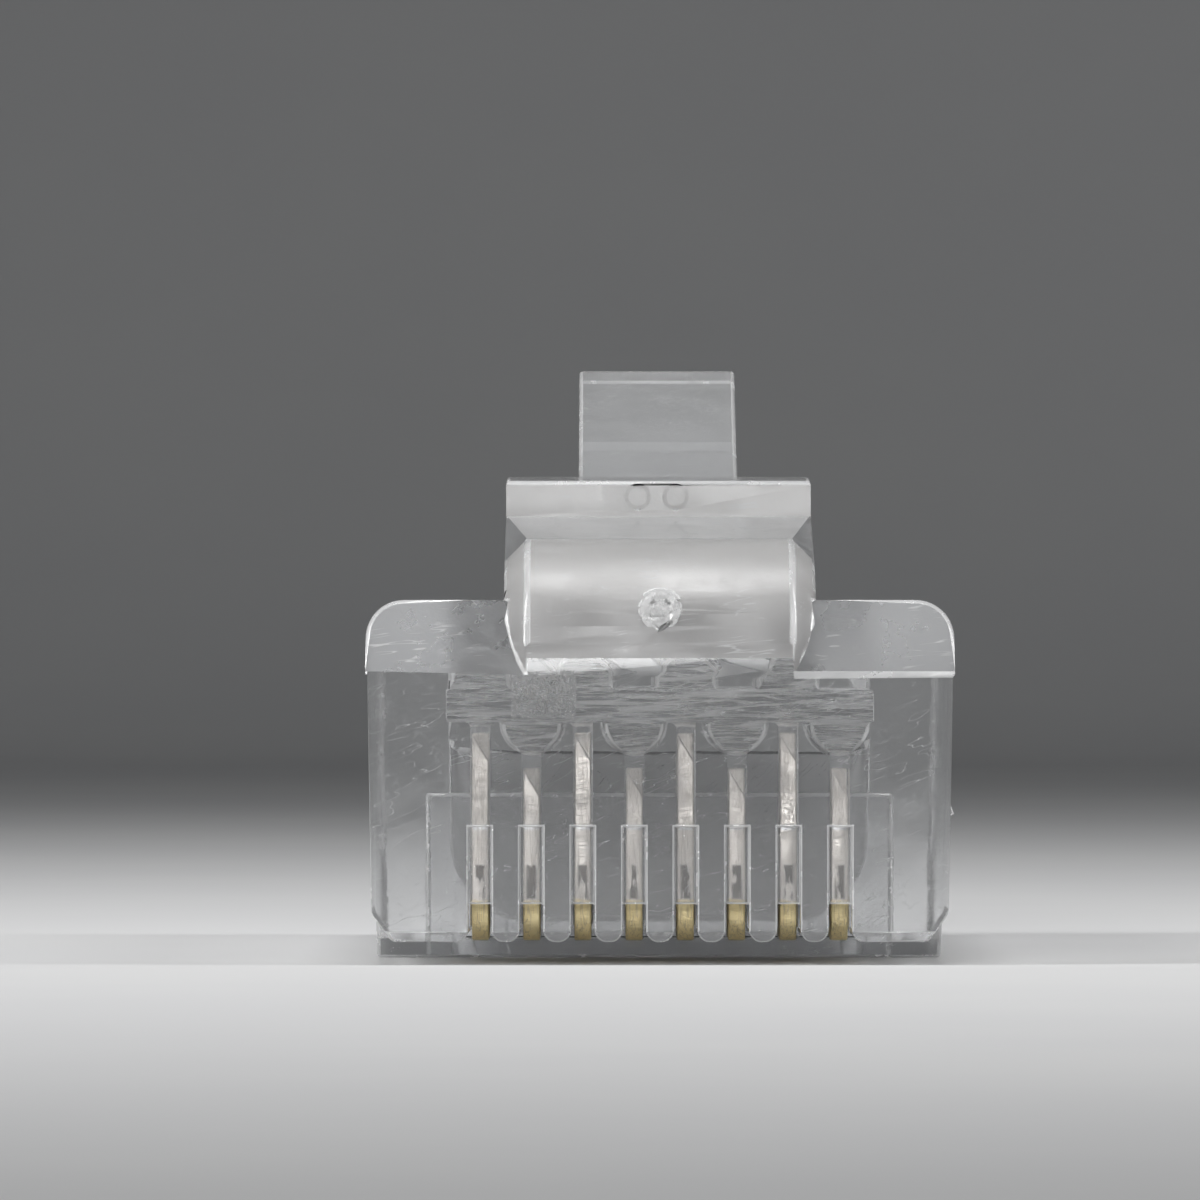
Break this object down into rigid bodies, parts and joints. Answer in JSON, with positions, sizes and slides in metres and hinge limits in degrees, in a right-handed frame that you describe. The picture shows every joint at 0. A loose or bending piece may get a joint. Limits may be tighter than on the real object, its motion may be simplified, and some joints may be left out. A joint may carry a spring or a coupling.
{
  "type": "modular plug",
  "caption": "Clear plastic modular plug for twisted-pair data cable, with a sprung latch, staggered wire channels and a row of gold-plated blade contacts, not yet crimped.",
  "frame": {"origin": "under the middle of the plug, on the surface that its contact side lies on", "axes": "+Y from the nose to the cable entry, +Z from the contact side to the latch, +X across"},
  "size_m": [0.0116, 0.0216, 0.0121],
  "materials": {
    "clear_body": "clear moulded polycarbonate, polished outside, fine tool marks on the front wall",
    "contacts": "phosphor bronze, gold plated on the running edge, silvery nickel above it"
  },
  "bodies": {
    "plug_body": {"housing": "clear_body", "contact_1": "contacts", "contact_2": "contacts", "contact_3": "contacts", "contact_4": "contacts", "contact_5": "contacts", "contact_6": "contacts", "contact_7": "contacts", "contact_8": "contacts"},
    "latch_arm": {"latch": "clear_body"}
  },
  "joints": [
    {"name": "latch_press", "type": "hinge", "parent": "plug_body", "child": "latch_arm", "pos_m": [0, -0.00805, 0.00745], "axis": [-1, 0, 0], "range_deg": [0, 15], "stiffness_Nm_per_rad": 0.2}
  ]
}
